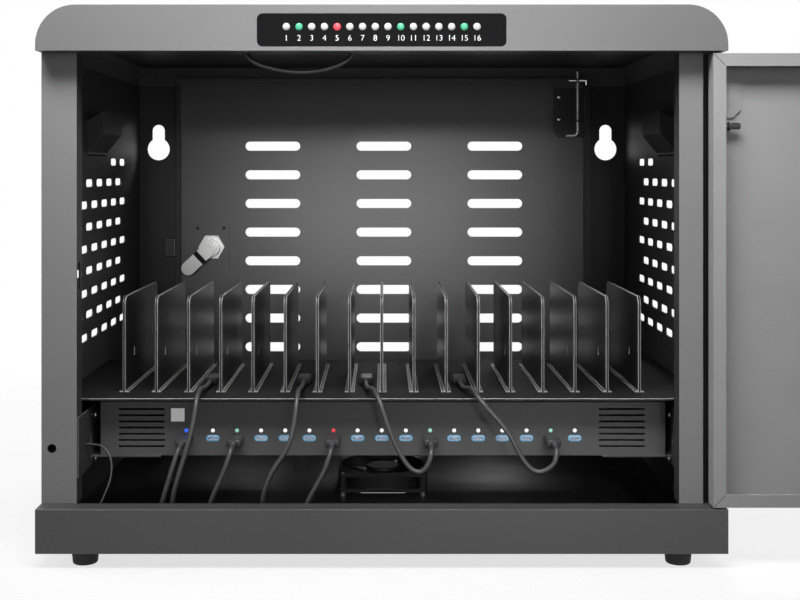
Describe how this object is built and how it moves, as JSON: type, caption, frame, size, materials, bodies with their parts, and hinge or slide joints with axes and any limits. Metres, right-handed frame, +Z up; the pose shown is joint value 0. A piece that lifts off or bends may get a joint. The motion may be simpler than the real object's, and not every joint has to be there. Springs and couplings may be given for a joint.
{
  "type": "charging cabinet",
  "caption": "Tabletop sheet-steel charging cabinet with an open front door, divider bays, a rack charger, status lights, vents, grips and a lockable rear service door",
  "frame": {"origin": "the middle of the cabinet on the floor plane under the feet", "axes": "+Z up, +X right seen from the front, +Y towards the back"},
  "size_m": [1.0683, 0.414, 0.44],
  "materials": {
    "powder_coat": "satin",
    "rubber": "matte",
    "black_plastic": "matte",
    "cable_jacket": "matte",
    "window": "gloss",
    "light_lens": "gloss",
    "blue_plastic": "gloss",
    "zinc_plate": "gloss"
  },
  "bodies": {
    "cabinet": {"top_cap": "powder_coat", "ceiling_panel": "powder_coat", "left_side_panel": "powder_coat", "right_side_panel": "powder_coat", "left_grip": "black_plastic", "right_grip": "black_plastic", "back_frame": "powder_coat", "base_pan": "powder_coat", "rubber_feet": "rubber", "display_window": "window", "display_leds": "light_lens", "shelf": "powder_coat", "charger_case": "powder_coat", "charger_ports": "blue_plastic", "charger_leds": "light_lens", "left_bracket": "powder_coat", "right_bracket": "powder_coat", "fan_frame": "black_plastic", "fan_standoffs": "zinc_plate", "power_inlet": "black_plastic", "rear_catch": "powder_coat", "charger_plugs": "cable_jacket", "device_plugs": "cable_jacket", "host_lead": "cable_jacket", "earth_lead": "cable_jacket", "ceiling_lead": "cable_jacket", "divider_01": "powder_coat", "divider_02": "powder_coat", "divider_03": "powder_coat", "divider_04": "powder_coat", "divider_05": "powder_coat", "divider_06": "powder_coat", "divider_07": "powder_coat", "divider_08": "powder_coat", "divider_09": "powder_coat", "divider_10": "powder_coat", "divider_11": "powder_coat", "divider_12": "powder_coat", "divider_13": "powder_coat", "divider_14": "powder_coat", "divider_15": "powder_coat", "divider_16": "powder_coat", "divider_17": "powder_coat", "usb_cable_02": "cable_jacket", "usb_cable_06": "cable_jacket", "usb_cable_10": "cable_jacket", "usb_cable_15": "cable_jacket"},
    "front_door": {"front_door": "powder_coat", "front_hinge_bracket": "powder_coat", "front_lock_barrel": "zinc_plate", "front_lock_nut": "zinc_plate"},
    "front_hinge_pin": {"front_hinge_pin": "zinc_plate"},
    "front_lock_cam": {"front_lock_cam": "zinc_plate"},
    "rear_door": {"rear_door": "powder_coat", "rear_hinge_bracket": "powder_coat", "rear_lock_barrel": "zinc_plate", "rear_lock_nut": "zinc_plate"},
    "rear_hinge_pin": {"rear_hinge_pin": "zinc_plate"},
    "rear_lock_cam": {"rear_lock_cam": "zinc_plate"},
    "fan_rotor": {"fan_rotor": "black_plastic"}
  },
  "joints": [
    {"name": "front_door_hinge", "type": "hinge", "parent": "cabinet", "child": "front_door", "pos_m": [0.26415, -0.192, 0.225], "axis": [0, 0, -1], "range_deg": [0, 180]},
    {"name": "front_pin_slide", "type": "slide", "parent": "front_door", "child": "front_hinge_pin", "axis": [0, 0, -1], "range_m": [0, 0.012], "stiffness_N_per_m": 300, "springref_m": -0.006},
    {"name": "front_lock_turn", "type": "hinge", "parent": "front_door", "child": "front_lock_cam", "pos_m": [0.7433, -0.2, 0.226], "axis": [0, -1, 0], "range_deg": [0, 90]},
    {"name": "rear_door_hinge", "type": "hinge", "parent": "cabinet", "child": "rear_door", "pos_m": [0.216, 0.194, 0.225], "axis": [0, 0, -1], "range_deg": [0, 120]},
    {"name": "rear_pin_slide", "type": "slide", "parent": "rear_door", "child": "rear_hinge_pin", "axis": [0, 0, -1], "range_m": [0, 0.012], "stiffness_N_per_m": 300, "springref_m": -0.006},
    {"name": "rear_lock_turn", "type": "hinge", "parent": "rear_door", "child": "rear_lock_cam", "pos_m": [-0.188, 0.19, 0.226], "axis": [0, -1, 0], "range_deg": [-43, 47]},
    {"name": "fan_spin", "type": "hinge", "parent": "cabinet", "child": "fan_rotor", "pos_m": [0.001, -0.022, 0.03], "axis": [0, 0, 1], "continuous": true}
  ]
}
